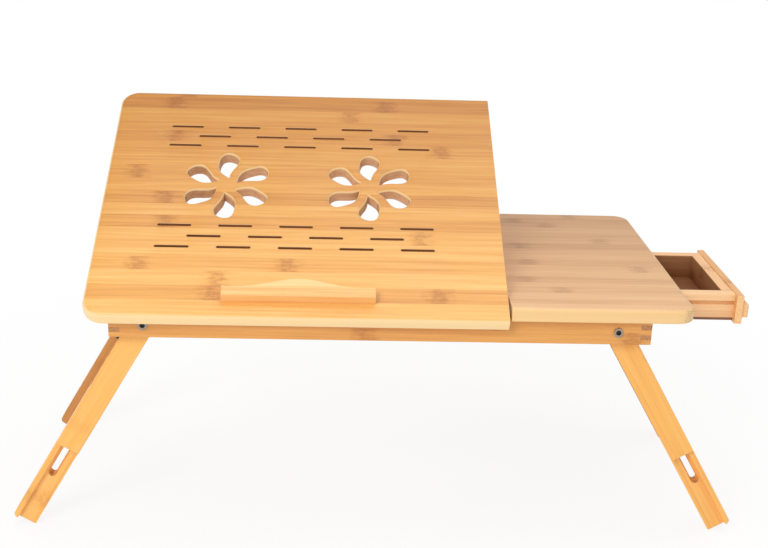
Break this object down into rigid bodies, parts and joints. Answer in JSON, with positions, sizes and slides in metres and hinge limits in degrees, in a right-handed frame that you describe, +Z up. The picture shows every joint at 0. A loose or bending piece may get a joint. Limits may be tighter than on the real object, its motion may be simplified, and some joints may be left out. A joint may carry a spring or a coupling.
{
  "type": "laptop stand with drawer",
  "caption": "Bamboo laptop stand: a flat top beside a tilting vented top with a book ledge, folding splayed legs of adjustable length and a side drawer.",
  "frame": {"origin": "on the floor below the middle of the whole stand, drawer open and top tilted", "axes": "+X along the stand towards the drawer, +Y to the back, +Z up"},
  "size_m": [0.704, 0.304, 0.3756],
  "materials": {
    "bamboo_panel": "satin lacquered carbonised bamboo",
    "bamboo_top": "satin lacquered bamboo, greyer and rosier",
    "bamboo_frame": "satin lacquered bamboo",
    "bamboo_leg": "satin lacquered bamboo",
    "bamboo_drawer": "satin lacquered bamboo",
    "steel": "zinc plated steel",
    "brass_insert": "turned brass",
    "knob_plastic": "moulded nylon, fine texture"
  },
  "bodies": {
    "frame": {"front_apron": "bamboo_frame", "rear_apron": "bamboo_frame", "left_rail": "bamboo_frame", "right_rail_front": "bamboo_frame", "right_rail_rear": "bamboo_frame", "cross_rail": "bamboo_frame", "fixed_top": "bamboo_top", "runner_front": "bamboo_frame", "runner_rear": "bamboo_frame", "rack_left": "bamboo_frame", "rack_right": "bamboo_frame", "hinge_frame_leaves": "steel", "hinge_pins": "steel", "pivot_bolts": "steel", "pivot_nuts": "steel"},
    "tilt_top": {"tilt_panel": "bamboo_panel", "book_ledge": "bamboo_panel", "hinge_panel_leaves": "steel", "prop_brackets": "bamboo_panel", "prop_pins": "steel"},
    "prop": {"prop_arm_left": "bamboo_frame", "prop_arm_right": "bamboo_frame", "prop_foot_bar": "steel"},
    "drawer": {"drawer_side_front": "bamboo_drawer", "drawer_side_rear": "bamboo_drawer", "drawer_front": "bamboo_drawer", "drawer_back": "bamboo_drawer", "drawer_bottom": "bamboo_drawer", "drawer_face": "bamboo_drawer", "drawer_pull": "bamboo_drawer"},
    "upper_leg_front_left": {"upper_leg_front_left": "bamboo_leg", "leg_insert_front_left": "brass_insert"},
    "lower_leg_front_left": {"lower_leg_front_left": "bamboo_leg"},
    "knob_front_left": {"clamp_knob_front_left": "knob_plastic"},
    "upper_leg_front_right": {"upper_leg_front_right": "bamboo_leg", "leg_insert_front_right": "brass_insert"},
    "lower_leg_front_right": {"lower_leg_front_right": "bamboo_leg"},
    "knob_front_right": {"clamp_knob_front_right": "knob_plastic"},
    "upper_leg_rear_left": {"upper_leg_rear_left": "bamboo_leg", "leg_insert_rear_left": "brass_insert"},
    "lower_leg_rear_left": {"lower_leg_rear_left": "bamboo_leg"},
    "knob_rear_left": {"clamp_knob_rear_left": "knob_plastic"},
    "upper_leg_rear_right": {"upper_leg_rear_right": "bamboo_leg", "leg_insert_rear_right": "brass_insert"},
    "lower_leg_rear_right": {"lower_leg_rear_right": "bamboo_leg"},
    "knob_rear_right": {"clamp_knob_rear_right": "knob_plastic"}
  },
  "joints": [
    {"name": "top_tilt", "type": "hinge", "parent": "frame", "child": "tilt_top", "pos_m": [0, -0.13098, 0.22399], "axis": [-1, 0, 0], "range_deg": [-6, 29.5]},
    {"name": "prop_swing", "type": "hinge", "parent": "tilt_top", "child": "prop", "pos_m": [0, 0.0193, 0.30361], "axis": [-1, 0, 0], "range_deg": [-4.4, 21.6]},
    {"name": "drawer_slide", "type": "slide", "parent": "frame", "child": "drawer", "axis": [-1, 0, 0], "range_m": [0, 0.0997]},
    {"name": "leg_fold_front_left", "type": "hinge", "parent": "frame", "child": "upper_leg_front_left", "pos_m": [-0.22085, 0, 0.21499], "axis": [0, -1, 0], "range_deg": [0, 120.4]},
    {"name": "leg_length_front_left", "type": "slide", "parent": "upper_leg_front_left", "child": "lower_leg_front_left", "axis": [0.506, 0, 0.8625], "range_m": [-0.016, 0.072]},
    {"name": "knob_turn_front_left", "type": "hinge", "parent": "upper_leg_front_left", "child": "knob_front_left", "pos_m": [-0.27803, 0, 0.11753], "axis": [0, -1, 0], "range_deg": [-360, 0]},
    {"name": "leg_fold_front_right", "type": "hinge", "parent": "frame", "child": "upper_leg_front_right", "pos_m": [0.20763, 0, 0.21499], "axis": [0, 1, 0], "range_deg": [0, 120.4]},
    {"name": "leg_length_front_right", "type": "slide", "parent": "upper_leg_front_right", "child": "lower_leg_front_right", "axis": [-0.506, 0, 0.8625], "range_m": [-0.016, 0.072]},
    {"name": "knob_turn_front_right", "type": "hinge", "parent": "upper_leg_front_right", "child": "knob_front_right", "pos_m": [0.26482, 0, 0.11753], "axis": [0, -1, 0], "range_deg": [-360, 0]},
    {"name": "leg_fold_rear_left", "type": "hinge", "parent": "frame", "child": "upper_leg_rear_left", "pos_m": [-0.22085, 0, 0.21499], "axis": [0, -1, 0], "range_deg": [0, 120.4]},
    {"name": "leg_length_rear_left", "type": "slide", "parent": "upper_leg_rear_left", "child": "lower_leg_rear_left", "axis": [0.506, 0, 0.8625], "range_m": [-0.016, 0.072]},
    {"name": "knob_turn_rear_left", "type": "hinge", "parent": "upper_leg_rear_left", "child": "knob_rear_left", "pos_m": [-0.27803, 0, 0.11753], "axis": [0, 1, 0], "range_deg": [-360, 0]},
    {"name": "leg_fold_rear_right", "type": "hinge", "parent": "frame", "child": "upper_leg_rear_right", "pos_m": [0.20763, 0, 0.21499], "axis": [0, 1, 0], "range_deg": [0, 120.4]},
    {"name": "leg_length_rear_right", "type": "slide", "parent": "upper_leg_rear_right", "child": "lower_leg_rear_right", "axis": [-0.506, 0, 0.8625], "range_m": [-0.016, 0.072]},
    {"name": "knob_turn_rear_right", "type": "hinge", "parent": "upper_leg_rear_right", "child": "knob_rear_right", "pos_m": [0.26482, 0, 0.11753], "axis": [0, 1, 0], "range_deg": [-360, 0]}
  ],
  "couplings": [
    {"joint": "prop_swing", "follows": "top_tilt", "ratio": 0.732}
  ]
}
